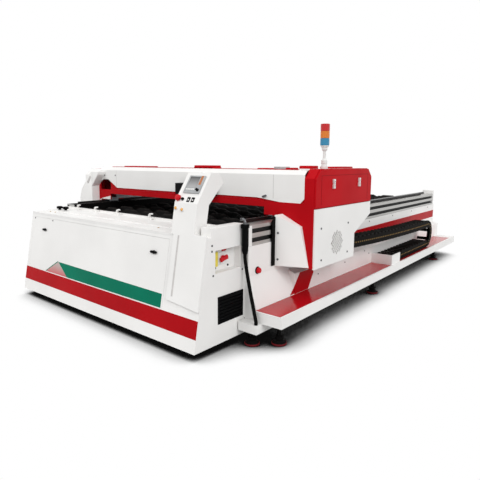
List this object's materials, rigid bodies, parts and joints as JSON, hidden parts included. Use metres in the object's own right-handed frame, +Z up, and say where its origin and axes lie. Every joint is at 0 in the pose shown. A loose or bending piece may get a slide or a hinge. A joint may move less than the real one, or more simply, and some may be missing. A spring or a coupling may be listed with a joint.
{
  "type": "fiber laser cutting machine",
  "caption": "Open flat-bed laser cutting machine with a console, a travelling gantry, a lifting head and a drag chain on a side ledge.",
  "frame": {"origin": "on the floor, under the middle of the overall box", "axes": "+X to the right of the front, +Y from the front to the rear along the bed, +Z up"},
  "size_m": [2.63, 4.2, 1.3609],
  "materials": {
    "white_powder_coat": "white powder coat, light texture",
    "red_powder_coat": "red powder coat, satin",
    "black_paint": "black paint, satin",
    "black_plastic": "moulded black plastic",
    "extruded_aluminium": "extruded, clear anodised",
    "ground_steel": "ground and lightly oiled",
    "cut_steel": "dark scaled steel",
    "screen_panel": "grey panel with its glass set back",
    "red_plastic": "glossy red plastic",
    "yellow_plastic": "yellow plastic",
    "black_rubber": "matt rubber",
    "copper": "turned copper",
    "red_lens": "translucent red lens",
    "orange_lens": "translucent orange lens",
    "blue_lens": "translucent blue lens",
    "grey_plastic": "light grey plastic"
  },
  "bodies": {
    "machine": {"base_frame": "white_powder_coat", "side_ledge": "white_powder_coat", "foot_right_tab": "black_rubber", "foot_right_front": "black_rubber", "foot_right_middle": "black_rubber", "foot_right_rear": "black_rubber", "foot_left_front": "black_rubber", "foot_left_middle": "black_rubber", "foot_left_rear": "black_rubber", "rail_profile_right": "extruded_aluminium", "rail_profile_left": "extruded_aluminium", "guide_rail_right": "ground_steel", "guide_rail_left": "ground_steel", "gear_rack_right": "ground_steel", "gear_rack_left": "ground_steel", "rail_end_cap_right": "white_powder_coat", "rail_end_cap_left": "white_powder_coat", "slat_bed": "cut_steel", "console_shell": "white_powder_coat", "deck_plate": "white_powder_coat", "control_pillar": "white_powder_coat", "screen_panel": "screen_panel", "side_vent": "black_plastic", "switch_plate": "yellow_plastic", "machine_hose": "black_rubber", "hose_sleeve": "black_plastic", "drag_chain": "black_plastic", "chain_anchor": "white_powder_coat"},
    "gantry": {"gantry_beam": "ground_steel", "beam_cover": "white_powder_coat", "cover_trim": "red_powder_coat", "beam_trim": "red_powder_coat", "leg_right": "red_powder_coat", "leg_left": "red_powder_coat", "leg_panel": "white_powder_coat", "cabinet_cover": "white_powder_coat", "end_pillar": "white_powder_coat", "servo_right": "black_paint", "servo_left": "black_paint", "tower_pole": "grey_plastic", "lens_blue": "blue_lens", "lens_orange": "orange_lens", "lens_red": "red_lens"},
    "carriage": {"head_carriage": "black_paint"},
    "head": {"laser_head": "extruded_aluminium", "nozzle": "copper"},
    "pinion_right_body": {"pinion_right": "ground_steel"},
    "pinion_left_body": {"pinion_left": "ground_steel"},
    "front_door_body": {"front_door": "white_powder_coat"},
    "latch_left_body": {"door_latch_left": "black_plastic"},
    "latch_right_body": {"door_latch_right": "black_plastic"},
    "estop_body": {"estop_button": "red_plastic"},
    "estop_side_body": {"estop_side": "red_plastic"},
    "rocker_left_body": {"rocker_left": "black_plastic"},
    "rocker_right_body": {"rocker_right": "black_plastic"},
    "jog_knob_body": {"jog_knob": "black_plastic"},
    "switch_handle_body": {"switch_handle": "red_plastic"},
    "upper_door_body": {"upper_door": "red_powder_coat"},
    "catch_front_body": {"catch_front": "grey_plastic"},
    "catch_rear_body": {"catch_rear": "grey_plastic"}
  },
  "joints": [
    {"name": "gantry_travel", "type": "slide", "parent": "machine", "child": "gantry", "axis": [0, 1, 0], "range_m": [0, 2.47], "deforming": ["drag_chain"]},
    {"name": "carriage_travel", "type": "slide", "parent": "gantry", "child": "carriage", "axis": [1, 0, 0], "range_m": [-0.87, 0.33]},
    {"name": "head_lift", "type": "slide", "parent": "carriage", "child": "head", "axis": [0, 0, 1], "range_m": [-0.01, 0.1]},
    {"name": "pinion_right_spin", "type": "hinge", "parent": "gantry", "child": "pinion_right_body", "pos_m": [1.056, -0.87, 0.73], "axis": [0, 0, 1], "range_deg": [-3, 2361.7]},
    {"name": "pinion_left_spin", "type": "hinge", "parent": "gantry", "child": "pinion_left_body", "pos_m": [-1.056, -0.87, 0.73], "axis": [0, 0, 1], "range_deg": [-2361.7, 3]},
    {"name": "front_door_hinge", "type": "hinge", "parent": "machine", "child": "front_door_body", "pos_m": [-0.1365, -2.06609, 0.24], "axis": [1, 0, 0], "range_deg": [0, 85]},
    {"name": "latch_left_turn", "type": "hinge", "parent": "front_door_body", "child": "latch_left_body", "pos_m": [-0.784, -2.00899, 0.56], "axis": [0, -0.9844, 0.1757], "range_deg": [0, 90]},
    {"name": "latch_right_turn", "type": "hinge", "parent": "front_door_body", "child": "latch_right_body", "pos_m": [0.586, -2.00899, 0.56], "axis": [0, -0.9844, 0.1757], "range_deg": [0, 90]},
    {"name": "estop_press", "type": "slide", "parent": "machine", "child": "estop_body", "axis": [0, 0.8313, -0.5558], "range_m": [0, 0.004], "stiffness_N_per_m": 2000},
    {"name": "estop_side_press", "type": "slide", "parent": "machine", "child": "estop_side_body", "axis": [-1, 0, 0], "range_m": [0, 0.004], "stiffness_N_per_m": 2000},
    {"name": "rocker_left_tilt", "type": "hinge", "parent": "machine", "child": "rocker_left_body", "pos_m": [0.835, -1.95155, 0.89478], "axis": [1, 0, 0], "range_deg": [-8, 8]},
    {"name": "rocker_right_tilt", "type": "hinge", "parent": "machine", "child": "rocker_right_body", "pos_m": [0.87, -1.95155, 0.89478], "axis": [1, 0, 0], "range_deg": [-8, 8]},
    {"name": "jog_knob_turn", "type": "hinge", "parent": "machine", "child": "jog_knob_body", "pos_m": [0.88164, -1.91742, 0.94583], "axis": [0, -0.8313, 0.5558], "continuous": true},
    {"name": "switch_handle_turn", "type": "hinge", "parent": "machine", "child": "switch_handle_body", "pos_m": [0.9653, -1.81, 0.545], "axis": [1, 0, 0], "range_deg": [0, 90]},
    {"name": "upper_door_hinge", "type": "hinge", "parent": "gantry", "child": "upper_door_body", "pos_m": [1.2988, -0.875, 0.822], "axis": [0, 1, 0], "range_deg": [0, 110]},
    {"name": "catch_front_turn", "type": "hinge", "parent": "upper_door_body", "child": "catch_front_body", "pos_m": [1.2985, -1.07, 0.972], "axis": [1, 0, 0], "range_deg": [0, 90]},
    {"name": "catch_rear_turn", "type": "hinge", "parent": "upper_door_body", "child": "catch_rear_body", "pos_m": [1.2985, -0.68, 0.972], "axis": [1, 0, 0], "range_deg": [0, 90]}
  ],
  "couplings": [
    {"joint": "pinion_right_spin", "follows": "gantry_travel", "rad_per_m": 16.667},
    {"joint": "pinion_left_spin", "follows": "gantry_travel", "rad_per_m": -16.667}
  ]
}
